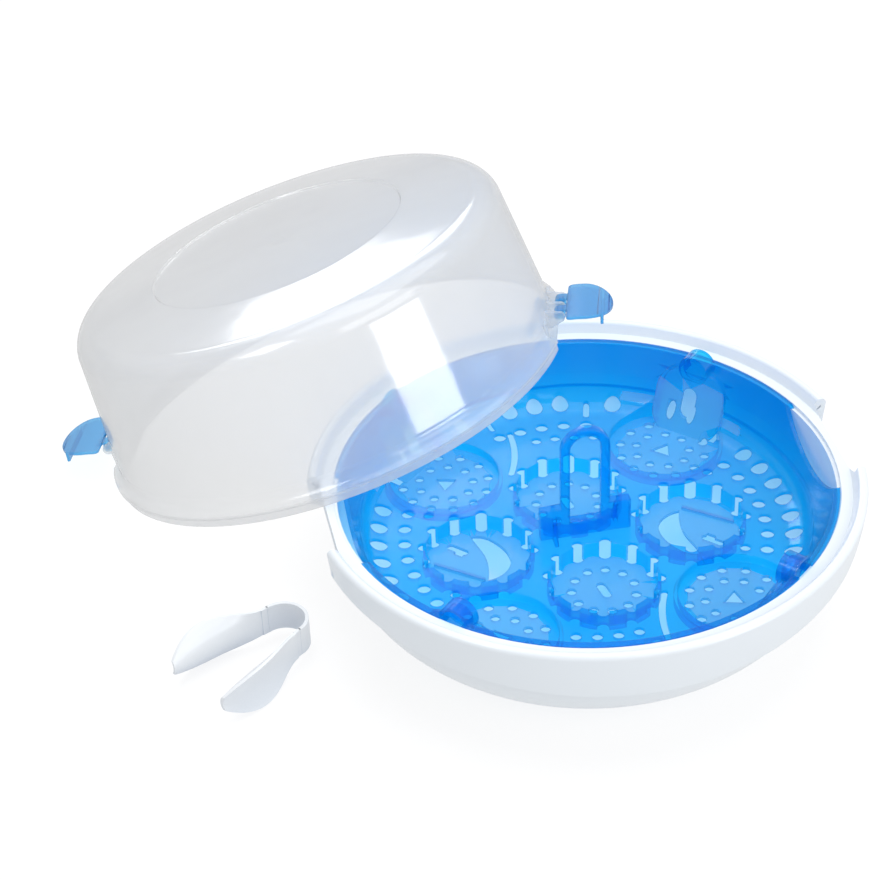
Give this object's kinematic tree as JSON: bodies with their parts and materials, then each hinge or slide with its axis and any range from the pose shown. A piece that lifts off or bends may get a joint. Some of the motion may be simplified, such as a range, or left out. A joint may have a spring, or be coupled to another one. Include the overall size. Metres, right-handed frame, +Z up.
{
  "type": "bottle sterilizer",
  "caption": "Round microwave steam steriliser with a bowl base, a translucent bottle rack with a lifting handle, a domed lid with hinged clips, and tongs.",
  "frame": {"origin": "centre of the flat underside of the base, where it stands on the table", "axes": "+Z up, X through the base's two notches with +X to the right as seen from the front (-Y)"},
  "size_m": [0.3916, 0.4093, 0.1677],
  "materials": {
    "base_white": "smooth glossy moulded polypropylene",
    "rack_blue": "translucent blue moulded polypropylene, glossy",
    "lid_clear": "milky translucent polypropylene, glossy outside",
    "clip_blue": "translucent blue moulded polypropylene",
    "tongs_white": "satin white moulded polypropylene"
  },
  "bodies": {
    "base": {"base": "base_white"},
    "rack": {"rack": "rack_blue", "rack_handle": "rack_blue"},
    "lid": {"lid": "lid_clear"},
    "clip_left": {"clip_left": "clip_blue"},
    "clip_right": {"clip_right": "clip_blue"},
    "tongs": {"tongs_bow": "tongs_white"},
    "tongs_arm_back": {"tongs_arm_back": "tongs_white"},
    "tongs_arm_front": {"tongs_arm_front": "tongs_white"}
  },
  "joints": [
    {"name": "rack_lift", "type": "slide", "parent": "base", "child": "rack", "axis": [0, 0, 1], "range_m": [0, 0.07]},
    {"name": "lid_lift", "type": "slide", "parent": "rack", "child": "lid", "axis": [0, 0, 1], "range_m": [0, 0.11]},
    {"name": "clip_left_hinge", "type": "hinge", "parent": "lid", "child": "clip_left", "pos_m": [-0.22685, 0.16635, 0.01576], "axis": [-0.2784, -0.9488, 0.1495], "range_deg": [-51, 99]},
    {"name": "clip_right_hinge", "type": "hinge", "parent": "lid", "child": "clip_right", "pos_m": [0.01477, 0.10857, 0.09897], "axis": [0.2784, 0.9488, -0.1495], "range_deg": [-77, 73]},
    {"name": "tongs_lift", "type": "slide", "parent": "base", "child": "tongs", "axis": [0, 0, 1], "range_m": [0, 0.06]},
    {"name": "tongs_squeeze", "type": "hinge", "parent": "tongs", "child": "tongs_arm_back", "pos_m": [-0.1662, -0.00388, 0.0127], "axis": [0, 0, 1], "range_deg": [0, 16.5], "stiffness_Nm_per_rad": 0.3},
    {"name": "tongs_squeeze_front", "type": "hinge", "parent": "tongs", "child": "tongs_arm_front", "pos_m": [-0.1528, -0.02452, 0.0127], "axis": [0, 0, 1], "range_deg": [-16.5, 0]}
  ],
  "couplings": [
    {"joint": "tongs_squeeze_front", "follows": "tongs_squeeze", "ratio": -1}
  ]
}
